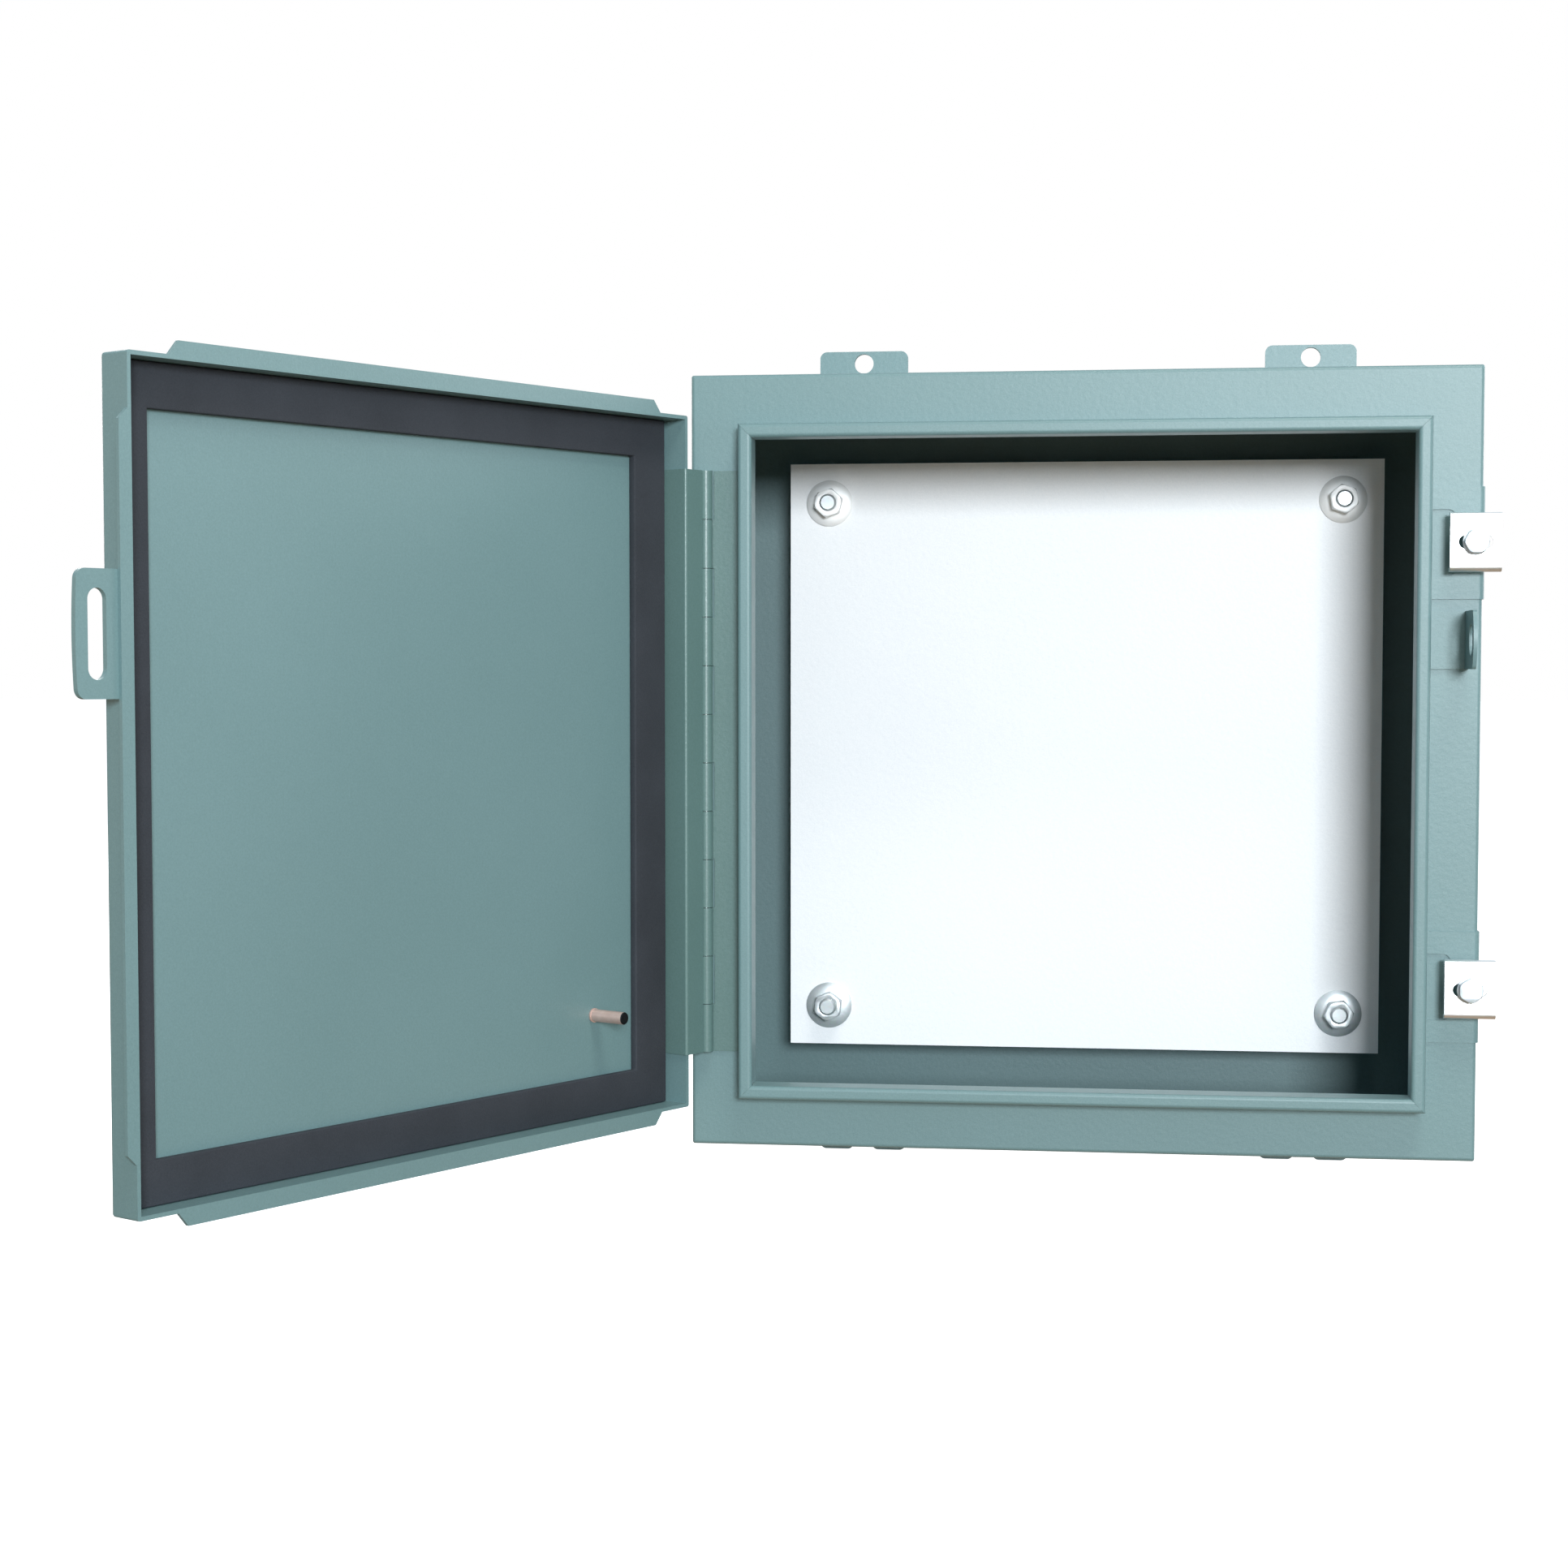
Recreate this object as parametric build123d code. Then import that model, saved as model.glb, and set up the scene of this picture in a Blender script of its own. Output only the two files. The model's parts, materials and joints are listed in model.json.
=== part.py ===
from build123d import *
import math
import os

# Wall-mounted steel control cabinet with a side-hinged clamp-cover door.
# Millimetres. The wall is the plane Y = 0, the front faces -Y, X is to the right, Z is up.
# The origin is on the wall plane, level with the middle of the cabinet.

# ---- Cabinet body ----
body_width = 406.4
body_height = 406.4
body_depth = 152.4
sheet = 1.9                    # body and door steel, 14 gauge
bend_radius = 2.0              # outside radius of the folded edges
corner_radius = 1.2            # ground weld along the four long corners
flange_width = 26.8            # body edge to the outside of the raised lip
lip_web = 7.2                  # width of the lip's front web
lip_height = 15.6              # how far the lip stands in front of the flange
lip_radius = 2.0
weld_gap = 0.05                # between the lip channel's mitred lengths

# ---- Mounting feet ----
foot_width = 50.8
foot_thickness = 3.0
foot_reach = 29.2              # past the top and bottom of the body
foot_overlap = 36.0            # welded behind the body
foot_corner = 4.0
foot_inset = 76.2              # body side to the middle of a foot
foot_hole = 11.1
foot_hole_reach = 22.2         # hole centre past the body edge
foot_mouth_radius = 3.2

# ---- Inner panel, its studs and nuts ----
panel_clearance = 4.1          # lip opening to the panel's edge, each side
panel_thickness = 2.7
panel_hole_clearance = 0.4     # radial, stud to panel hole
stud_inset = 22.225            # panel edge to stud
collar_length = 31.75
collar_diameter = 12.7
stud_diameter = 9.5
stud_past_nut = 1.5
nut_flange_diameter = 26.0
nut_flange_edge = 1.0
nut_cone_height = 3.4
nut_neck_diameter = 17.0
nut_hex = 14.3                 # across flats
nut_height = 9.6
thread_clearance = 0.05        # radial, between a stud or screw and its nut

# ---- Door ----
door_lip_gap = 2.2             # outside of the lip to the inside of the closed door
flare_width = 6.2              # turned-out strip on the top and bottom rims
latch_flare_width = 4.6        # the same strip on the latch side
flare_setback = 21.7           # door corner to the start of the top and bottom strips
latch_flare_setback = 23.7
flare_chamfer = 5.2
gasket_thickness = 4.2         # as pressed by the lip
gasket_gap = 0.3               # lip front to gasket face when closed
gasket_band = 19.6             # top and bottom bands
gasket_latch_band = 17.3
gasket_hinge_band = 24.0
gasket_edge_gap = 0.3
gasket_hinge_gap = 2.8         # leaves room for the hinge leaf's hem
door_open_angle = 120.0        # the stored rest pose

# ---- Continuous hinge ----
hinge_end_inset = 27.5         # door's top and bottom to the ends of the hinge
hinge_knuckles = 12
hinge_axis_inset = 8.4         # body side to the pin
knuckle_flange_gap = 0.4       # barrel to the body flange
knuckle_radius = 3.6
pin_radius = 1.5
pin_clearance = 0.05
knuckle_gap = 0.3
leaf_thickness = 1.4
leaf_gap = 1.7                 # between the two leaves when closed
leaf_hem = 13.0                # hem up the inside of the door's hinge-side flange
knuckle_leaf_gap = 0.4         # a knuckle to the other leaf's flat
leaf_lip_gap = 1.0

# ---- Padlock hasp and staple ----
hasp_level = 64.0              # height above the middle
hasp_height = 53.4
hasp_edge = 6.2                # metal outside the slot
hasp_thickness = 2.5
hasp_bulge = 1.0
hasp_corner = 4.5
hasp_slot_width = 9.4
hasp_slot_height = 37.6
staple_inset = 7.5             # body side to the middle of the upright
staple_thickness = 1.9
staple_height = 29.4
staple_reach = 34.0
staple_shoulder = 4.0
staple_corner = 3.0
staple_eye_width = 12.0        # in and out
staple_eye_height = 15.6
staple_eye_edge = 5.0
staple_base_thickness = 1.2

# ---- Door clamps ----
clamp_inset = 90.0             # body's top or bottom to the middle of a clamp
clamp_height = 29.8
clamp_length = 25.5
clamp_sheet = 1.9
clamp_bend = 2.5
clamp_foot_gap = 0.3           # clamp leg to the door's flare when closed
clamp_depth = 5.8              # back of the legs to the face
clamp_swing_gap = 0.35         # retracted clamp to the swinging flare
clamp_slot_edge = 4.1
clamp_slot_clearance = 0.4     # each side of the screw
screw_inset = 5.2              # body side to the clamp screw
screw_diameter = 6.0
screw_end_height = 1.5         # screw tip in front of the flange
screw_hex = 11.1
screw_head_height = 4.2
screw_crown = 0.86             # flat of the head to its corners
washer_rim = 3.6               # washer's width outside the screw
washer_thickness = 1.2
washer_gap = 0.1               # washer to clamp face
head_gap = 0.05
bracket_height = 57.0
bracket_thickness = 1.0
bracket_side_reach = 22.0      # down the body side
bracket_window_height = 34.0
bracket_window_reach = 13.2
bracket_window_corner = 4.0
bridge_width = 12.0
bridge_height = 19.0
bridge_sheet = 1.5
weld_nut_hex = 11.1

# ---- Earth studs ----
earth_stud_diameter = 6.35
earth_stud_length = 21.0
earth_base_diameter = 7.4
earth_base_height = 1.6
earth_stud_inset = 57.5        # door's hinge edge to the stud
earth_stud_rise = 75.8         # body's underside to the studs
body_earth_depth = 45.0        # behind the flange, on the hinge-side wall

# ---- Modelling allowances ----
cutter_extra = 1.0             # how far a cutting shape runs past what it cuts
near = 0.01                    # tolerance for picking edges

# ---- Places worked out from the sizes above ----
half_width = body_width / 2
half_height = body_height / 2
foot_spacing = body_width - 2 * foot_inset
back_y = -foot_thickness
front_y = back_y - body_depth
lip_x = half_width - flange_width
lip_z = half_height - flange_width
door_right = lip_x + door_lip_gap + sheet
door_left = -door_right
door_top = lip_z + door_lip_gap + sheet
rim_gap = 2 * leaf_thickness + leaf_gap
door_depth = lip_height + gasket_gap + gasket_thickness + sheet - rim_gap
rim_y = front_y - rim_gap
skin_y = rim_y - door_depth
hinge_x = -half_width + hinge_axis_inset
hinge_y = front_y - knuckle_radius - knuckle_flange_gap
hinge_length = 2 * (door_top - hinge_end_inset)
screw_x = half_width - screw_inset
clamp_left = door_right + latch_flare_width + clamp_swing_gap
clamp_level = half_height - clamp_inset
clamp_front = rim_gap + sheet + clamp_foot_gap + clamp_depth
staple_x = half_width - staple_inset
earth_stud_level = earth_stud_rise - half_height
panel_half_x = lip_x - lip_web - panel_clearance
panel_half_z = lip_z - lip_web - panel_clearance
bore_radius = pin_radius + pin_clearance
leaf_start = knuckle_radius + knuckle_leaf_gap


def slab(x0, x1, y0, y1, z0, z1):
    """A block between two opposite corners."""
    middle = ((x0 + x1) / 2, (y0 + y1) / 2, (z0 + z1) / 2)
    return Pos(*middle) * Box(abs(x1 - x0), abs(y1 - y0), abs(z1 - z0))


def rod_y(x, z, y0, y1, radius):
    """A round bar along Y."""
    return Pos(x, (y0 + y1) / 2, z) * Rot(90, 0, 0) * Cylinder(radius, abs(y1 - y0))


def rod_z(x, y, z0, z1, radius):
    """A round bar along Z."""
    return Pos(x, y, (z0 + z1) / 2) * Cylinder(radius, abs(z1 - z0))


def rod_x(y, z, x0, x1, radius):
    """A round bar along X."""
    return Pos((x0 + x1) / 2, y, z) * Rot(0, 90, 0) * Cylinder(radius, abs(x1 - x0))


def hex_y(x, z, y0, y1, flats):
    """A hexagonal bar along Y, corners up and down."""
    outline = RegularPolygon(flats / math.sqrt(3), 6, rotation=90)
    bar = extrude(Plane.XZ * outline, abs(y1 - y0))
    return Pos(x, max(y0, y1), z) * bar


def plate_y(outline, y_front, y_back):
    """Extrude an XZ outline between two Y planes."""
    return Pos(0, y_back, 0) * extrude(Plane.XZ * outline, y_back - y_front)


def along(shape, axis, test):
    """Edges of shape that run along an axis and pass a test on their middle point."""
    return [edge for edge in shape.edges().filter_by(axis) if test(edge.center())]


def open_door(shape):
    """Swing a shape made at the closed door to the stored open pose."""
    swing = Pos(hinge_x, hinge_y, 0) * Rot(0, 0, -door_open_angle) * Pos(-hinge_x, -hinge_y, 0)
    return swing * shape


def save(name, *solids):
    """Write one node."""
    shape = solids[0] if len(solids) == 1 else Compound(children=list(solids))
    export_step(shape, "parts/" + name + ".step")


# ---------------------------------------------------------------- cabinet body
def body_shell():
    """Sides, top, bottom and the turned-in front flange, folded from one sheet."""
    block = slab(-half_width, half_width, front_y, back_y, -half_height, half_height)
    block = fillet(block.edges().filter_by(Axis.Y), corner_radius)
    block = fillet(block.faces().sort_by(Axis.Y)[0].edges(), min(bend_radius, body_depth / 4))
    inner_x = half_width - sheet
    inner_z = half_height - sheet
    cavity = slab(-inner_x, inner_x, front_y + sheet, back_y, -inner_z, inner_z)
    mouth = slab(-lip_x, lip_x, front_y - sheet, front_y + 2 * sheet, -lip_z, lip_z)
    return block - cavity - mouth


def lip_side(length_half, reach):
    """One mitred length of the lip channel, along X, at the top; reach is its outer height."""
    outer = slab(-length_half, length_half, front_y - lip_height, front_y + sheet, reach - lip_web, reach)
    outer = fillet(
        along(outer, Axis.X, lambda c: abs(c.Y - (front_y - lip_height)) < near), lip_radius
    )
    groove = slab(
        -length_half, length_half, front_y - lip_height + sheet, front_y + 2 * sheet,
        reach - lip_web + sheet, reach - sheet,
    )
    hem_end = slab(
        -length_half, length_half, front_y, front_y + 2 * sheet, reach - 2 * lip_web, reach - sheet
    )
    channel = outer - groove - hem_end
    cut = 2 * lip_web
    for side in (-1, 1):
        far = side * length_half
        wedge = Polyline(
            (far, reach),
            (far - side * cut, reach - cut),
            (far + side * cut, reach - cut),
            (far + side * cut, reach),
            close=True,
        )
        channel -= Pos(0, front_y + 3 * sheet, 0) * extrude(
            Plane.XZ * make_face(wedge), lip_height + 6 * sheet
        )
    return channel


def lip_channel():
    """The raised lip round the opening that the door's gasket closes on."""
    top = lip_side(lip_x - weld_gap, lip_z)
    side = lip_side(lip_z - weld_gap, lip_x)
    return [
        top,
        Rot(0, 180, 0) * top,
        Rot(0, 90, 0) * side,
        Rot(0, -90, 0) * side,
    ]


def back_plate():
    """Back sheet, welded inside the rear edges of the body."""
    inner_x = half_width - sheet
    inner_z = half_height - sheet
    return slab(-inner_x, inner_x, back_y - sheet, back_y, -inner_z, inner_z)


def foot(x, open_slot):
    """A mounting foot at the top of the body; an open slot turns the hole into a fork."""
    tip = half_height + foot_reach
    root = half_height - foot_overlap
    plate = slab(x - foot_width / 2, x + foot_width / 2, -foot_thickness, 0, root, tip)
    hole_z = half_height + foot_hole_reach
    plate -= rod_y(x, hole_z, -2 * foot_thickness, foot_thickness, foot_hole / 2)
    plate = fillet(along(plate, Axis.Y, lambda c: abs(abs(c.X - x) - foot_width / 2) < near), foot_corner)
    if open_slot:
        half = foot_hole / 2
        plate -= slab(x - half, x + half, -2 * foot_thickness, foot_thickness, hole_z, tip + cutter_extra)
        mouth = along(plate, Axis.Y, lambda c: abs(c.Z - tip) < near and abs(abs(c.X - x) - half) < near)
        plate = fillet(mouth, foot_mouth_radius)
    return plate


def feet(open_slot):
    """The two feet of one end."""
    pair = [foot(side * foot_spacing / 2, open_slot) for side in (-1, 1)]
    if open_slot:
        pair = [Rot(0, 180, 0) * plate for plate in pair]
    return pair


# ---------------------------------------------------------------- inner panel
panel_back_y = back_y - sheet - collar_length
panel_front_y = panel_back_y - panel_thickness
nut_front_y = panel_front_y - nut_height


def stud_places():
    x = panel_half_x - stud_inset
    z = panel_half_z - stud_inset
    return [(-x, -z), (-x, z), (x, -z), (x, z)]


def panel_stud(x, z):
    """Collar stud welded to the back plate; its shoulder carries the panel."""
    collar = rod_y(x, z, back_y - sheet, panel_back_y, collar_diameter / 2)
    thread = rod_y(x, z, panel_back_y, nut_front_y - stud_past_nut, stud_diameter / 2)
    return collar + thread


def inner_panel():
    plate = slab(-panel_half_x, panel_half_x, panel_front_y, panel_back_y, -panel_half_z, panel_half_z)
    hole_radius = stud_diameter / 2 + panel_hole_clearance
    for x, z in stud_places():
        plate -= rod_y(x, z, panel_front_y - cutter_extra, panel_back_y + cutter_extra, hole_radius)
    return plate


def panel_nut(x, z):
    """Hexagon nut with a wide coned flange."""
    flange_y = panel_front_y - nut_flange_edge
    cone_y = flange_y - nut_cone_height
    nut = rod_y(x, z, panel_front_y, flange_y, nut_flange_diameter / 2)
    cone = Cone(nut_flange_diameter / 2, nut_neck_diameter / 2, nut_cone_height)
    nut += Pos(x, (flange_y + cone_y) / 2, z) * Rot(90, 0, 0) * cone
    nut += hex_y(x, z, nut_front_y, flange_y, nut_hex)
    bore = stud_diameter / 2 + thread_clearance
    return nut - rod_y(x, z, panel_front_y + cutter_extra, nut_front_y - cutter_extra, bore)


# ---------------------------------------------------------------- hinge
def knuckle_spans(first):
    """Z spans of every other knuckle, from the bottom; first is 0 for the body, 1 for the door."""
    pitch = hinge_length / hinge_knuckles
    bottom = -hinge_length / 2
    return [
        (bottom + i * pitch + knuckle_gap / 2, bottom + (i + 1) * pitch - knuckle_gap / 2)
        for i in range(first, hinge_knuckles, 2)
    ]


def hinge_body_leaf():
    """Flat leaf welded to the flange, with its share of the knuckles."""
    half = hinge_length / 2
    leaf = slab(hinge_x + leaf_start, -lip_x - leaf_lip_gap, front_y - leaf_thickness, front_y, -half, half)
    for low, high in knuckle_spans(0):
        leaf += slab(hinge_x, hinge_x + leaf_start, front_y - leaf_thickness, front_y, low, high)
        leaf += rod_z(hinge_x, hinge_y, low, high, knuckle_radius)
    return leaf - rod_z(hinge_x, hinge_y, -half - cutter_extra, half + cutter_extra, bore_radius)


def hinge_door_leaf():
    """Leaf that runs under the door's rim and hems up the inside of its flange."""
    half = hinge_length / 2
    hem_x = door_left + sheet
    leaf = slab(hinge_x + leaf_start, hem_x + leaf_thickness, rim_y, rim_y + leaf_thickness, -half, half)
    leaf += slab(hem_x, hem_x + leaf_thickness, rim_y - leaf_hem, rim_y + leaf_thickness, -half, half)
    outside = along(
        leaf, Axis.Z,
        lambda c: abs(c.X - hem_x - leaf_thickness) < near and abs(c.Y - rim_y - leaf_thickness) < near,
    )
    leaf = fillet(outside, leaf_thickness * 0.9)
    for low, high in knuckle_spans(1):
        leaf += slab(hinge_x, hinge_x + leaf_start, rim_y, rim_y + leaf_thickness, low, high)
        leaf += rod_z(hinge_x, hinge_y, low, high, knuckle_radius)
    return leaf - rod_z(hinge_x, hinge_y, -half - cutter_extra, half + cutter_extra, bore_radius)


def hinge_pin():
    half = hinge_length / 2
    return rod_z(hinge_x, hinge_y, -half, half, pin_radius)


# ---------------------------------------------------------------- door
def flare(length_start, length_end, root, width):
    """Turned-out strip along X at the top rim, with mitred ends; root is where it leaves the door."""
    tip = root + width
    cut = min(flare_chamfer, width)
    outline = Polyline(
        (length_start, root),
        (length_end, root),
        (length_end - cut, tip),
        (length_start + cut, tip),
        close=True,
    )
    return plate_y(make_face(outline), rim_y - sheet, rim_y)


def door_shell():
    """The folded door tray with its turned-out rim strips."""
    tray = slab(door_left, door_right, skin_y, rim_y, -door_top, door_top)
    tray = fillet(tray.edges().filter_by(Axis.Y), corner_radius)
    tray = fillet(tray.faces().sort_by(Axis.Y)[0].edges(), min(bend_radius, door_depth / 3))
    tray -= slab(
        door_left + sheet, door_right - sheet, skin_y + sheet, rim_y + cutter_extra,
        sheet - door_top, door_top - sheet,
    )
    strip = flare(door_left + flare_setback, door_right - flare_setback, door_top, flare_width)
    latch_half = door_top - latch_flare_setback
    latch = Rot(0, 90, 0) * flare(-latch_half, latch_half, door_right, latch_flare_width)
    return tray + strip + Rot(0, 180, 0) * strip + latch


def door_gasket():
    """Foamed gasket ring on the inside of the skin, shown as it lies against the lip."""
    face_y = front_y - lip_height - gasket_gap
    root_y = skin_y + sheet
    left = door_left + sheet + gasket_hinge_gap
    right = door_right - sheet - gasket_edge_gap
    top = door_top - sheet - gasket_edge_gap
    ring = slab(left, right, root_y, face_y, -top, top)
    window_top = top - gasket_band
    return ring - slab(
        left + gasket_hinge_band, right - gasket_latch_band, root_y - cutter_extra, face_y + cutter_extra,
        -window_top, window_top,
    )


def earth_stud(along_x):
    """Threaded earth stud with a small welded base, along Y from Y = 0 towards +Y, or along +X."""
    if along_x:
        base = rod_x(0, 0, 0, earth_base_height, earth_base_diameter / 2)
        return base + rod_x(0, 0, earth_base_height, earth_stud_length, earth_stud_diameter / 2)
    base = rod_y(0, 0, 0, earth_base_height, earth_base_diameter / 2)
    return base + rod_y(0, 0, earth_base_height, earth_stud_length, earth_stud_diameter / 2)


def door_ground_stud():
    return Pos(door_left + earth_stud_inset, skin_y + sheet, earth_stud_level) * earth_stud(False)


def body_ground_stud():
    return Pos(-half_width + sheet, front_y + body_earth_depth, earth_stud_level) * earth_stud(True)


# ---------------------------------------------------------------- hasp and staple
def padlock_hasp():
    """Slotted tab welded behind the latch-side strip; the staple comes through its slot."""
    y_front = rim_y - sheet - hasp_thickness
    y_back = rim_y - sheet
    root = door_right
    tip = staple_x + hasp_slot_width / 2 + hasp_edge
    half = hasp_height / 2
    edge = ThreePointArc((tip - hasp_bulge, -half), (tip, 0), (tip - hasp_bulge, half))
    rest = Polyline((tip - hasp_bulge, half), (root, half), (root, -half), (tip - hasp_bulge, -half))
    tab = Pos(0, 0, hasp_level) * plate_y(make_face([edge, rest]), y_front, y_back)
    tab = fillet(along(tab, Axis.Y, lambda c: c.X > root + near), hasp_corner)
    straight = hasp_slot_height / 2 - hasp_slot_width / 2
    r = hasp_slot_width / 2
    y0 = y_front - cutter_extra
    y1 = y_back + cutter_extra
    slot = slab(staple_x - r, staple_x + r, y0, y1, hasp_level - straight, hasp_level + straight)
    for side in (-1, 1):
        slot += rod_y(staple_x, hasp_level + side * straight, y0, y1, r)
    return tab - slot


def padlock_staple():
    """Angle plate on the flange; its upright has an eye for the padlock shackle."""
    half = staple_height / 2
    inner_x = staple_x - staple_thickness / 2
    base = slab(
        lip_x + leaf_lip_gap, inner_x, front_y - staple_base_thickness, front_y, hasp_level - half,
        hasp_level + half,
    )
    shoulder_y = front_y - staple_reach + staple_shoulder
    front = front_y - staple_reach
    edge = ThreePointArc((shoulder_y, -half), (front, 0), (shoulder_y, half))
    rest = Polyline((shoulder_y, half), (front_y, half), (front_y, -half), (shoulder_y, -half))
    upright = extrude(Plane.YZ * make_face([edge, rest]), staple_thickness)
    upright = fillet(
        along(upright, Axis.X, lambda c: c.Y < front_y - staple_reach / 2), staple_corner
    )
    upright = Pos(inner_x, 0, hasp_level) * upright
    eye_front = front + staple_eye_edge
    r = staple_eye_width / 2
    straight = staple_eye_height / 2 - r
    eye_y = eye_front + r
    x0 = inner_x - cutter_extra
    x1 = inner_x + staple_thickness + cutter_extra
    eye = slab(x0, x1, eye_y - r, eye_y + r, hasp_level - straight, hasp_level + straight)
    for side in (-1, 1):
        eye += rod_x(eye_y, hasp_level + side * straight, x0, x1, r)
    return base + (upright - eye)


# ---------------------------------------------------------------- clamps
def clamp_bracket(z):
    """Thin bracket plate on the flange, folded round the corner and down the body side."""
    half = bracket_height / 2
    outer_x = half_width + bracket_thickness
    top_y = front_y - bracket_thickness
    plate = slab(lip_x + leaf_lip_gap / 2, outer_x, top_y, front_y + bracket_side_reach, z - half, z + half)
    plate = fillet(
        along(plate, Axis.Z, lambda c: c.X > half_width and c.Y < front_y), bend_radius + bracket_thickness
    )
    body = slab(-half_width, half_width, front_y, back_y, -half_height, half_height)
    body = fillet(body.faces().sort_by(Axis.Y)[0].edges(), bend_radius)
    plate -= body
    window_half = bracket_window_height / 2
    window_right = lip_x + bracket_window_reach
    window = slab(
        lip_x - cutter_extra, window_right, top_y - cutter_extra, front_y + cutter_extra,
        z - window_half, z + window_half,
    )
    window = fillet(along(window, Axis.Y, lambda c: c.X > window_right - near), bracket_window_corner)
    return plate - window


def clamp_bridge(z):
    """Raised seat on the bracket that carries the weld nut at the height of the clamp."""
    top_y = front_y - (rim_gap + sheet)
    half = bridge_height / 2
    left = screw_x - bridge_width / 2
    right = min(screw_x + bridge_width / 2, half_width - bend_radius)
    root_y = front_y - bracket_thickness
    web = slab(left, right, top_y, top_y + bridge_sheet, z - half, z + half)
    for side in (-1, 1):
        edge = z + side * half
        web += slab(left, right, top_y, root_y, edge - side * bridge_sheet, edge)
    bore = screw_diameter / 2 + thread_clearance
    return web - rod_y(screw_x, z, top_y - cutter_extra, root_y + cutter_extra, bore)


def weld_nut(z):
    """Hexagon nut under the bridge."""
    top_y = front_y - (rim_gap + sheet) + bridge_sheet
    nut = hex_y(screw_x, z, top_y, front_y - bracket_thickness, weld_nut_hex)
    bore = screw_diameter / 2 + thread_clearance
    return nut - rod_y(screw_x, z, top_y - cutter_extra, front_y, bore)


def clamp_channel(z):
    """Zinc-plated channel clamp with a slot; its legs press on the door's latch-side strip."""
    face_y = front_y - clamp_front
    leg_y = front_y - (rim_gap + sheet + clamp_foot_gap)
    half = clamp_height / 2
    right = clamp_left + clamp_length
    block = slab(clamp_left, right, face_y, leg_y, z - half, z + half)
    block = fillet(along(block, Axis.X, lambda c: abs(c.Y - face_y) < near), clamp_bend)
    inner = slab(
        clamp_left - cutter_extra, right + cutter_extra, face_y + clamp_sheet, leg_y + cutter_extra,
        z - half + clamp_sheet, z + half - clamp_sheet,
    )
    inner = fillet(
        along(inner, Axis.X, lambda c: abs(c.Y - face_y - clamp_sheet) < near),
        max(clamp_bend - clamp_sheet, clamp_sheet / 10),
    )
    r = screw_diameter / 2 + clamp_slot_clearance
    slot_left = clamp_left + clamp_slot_edge + r
    slot_right = right - clamp_slot_edge - r
    y0 = face_y - cutter_extra
    y1 = face_y + clamp_sheet + cutter_extra
    slot = slab(slot_left, slot_right, y0, y1, z - r, z + r)
    for x in (slot_left, slot_right):
        slot += rod_y(x, z, y0, y1, r)
    return block - inner - slot


washer_back_y = front_y - clamp_front - washer_gap
washer_front_y = washer_back_y - washer_thickness


def clamp_washer(z):
    ring = rod_y(screw_x, z, washer_front_y, washer_back_y, screw_diameter / 2 + washer_rim)
    bore = screw_diameter / 2 + pin_clearance
    return ring - rod_y(screw_x, z, washer_front_y - cutter_extra, washer_back_y + cutter_extra, bore)


def clamp_screw(z):
    """Hexagon-head clamp screw, chamfered on top, down into the weld nut."""
    head_back = washer_front_y - head_gap
    head_front = head_back - screw_head_height
    head = hex_y(screw_x, z, head_front, head_back, screw_hex)
    corner = screw_hex / math.sqrt(3)
    crown = Cone(corner + screw_head_height, screw_crown * corner, screw_head_height)
    head &= Pos(screw_x, (head_front + head_back) / 2, z) * Rot(90, 0, 0) * crown
    shank = rod_y(screw_x, z, head_back, front_y - screw_end_height, screw_diameter / 2)
    return head + shank


# ---------------------------------------------------------------- write the nodes
save("body_shell", body_shell())
save("lip_channel", *lip_channel())
save("back_plate", back_plate())
save("upper_feet", *feet(False))
save("lower_feet", *feet(True))
save("panel_studs", *[panel_stud(x, z) for x, z in stud_places()])
save("inner_panel", inner_panel())
save("panel_nuts", *[panel_nut(x, z) for x, z in stud_places()])
save("body_ground_stud", body_ground_stud())
save("hinge_body_leaf", hinge_body_leaf())
save("hinge_pin", hinge_pin())
save("padlock_staple", padlock_staple())

save("door_shell", open_door(door_shell()))
save("door_gasket", open_door(door_gasket()))
save("hinge_door_leaf", open_door(hinge_door_leaf()))
save("padlock_hasp", open_door(padlock_hasp()))
save("door_ground_stud", open_door(door_ground_stud()))

for place, level in (("upper", clamp_level), ("lower", -clamp_level)):
    save(place + "_clamp_bracket", clamp_bracket(level))
    save(place + "_clamp_bridge", clamp_bridge(level))
    save(place + "_weld_nut", weld_nut(level))
    save(place + "_clamp", clamp_channel(level))
    save(place + "_clamp_washer", clamp_washer(level))
    save(place + "_clamp_screw", clamp_screw(level))
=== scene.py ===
import json
import math

import bpy
from mathutils import Matrix, Vector


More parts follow.
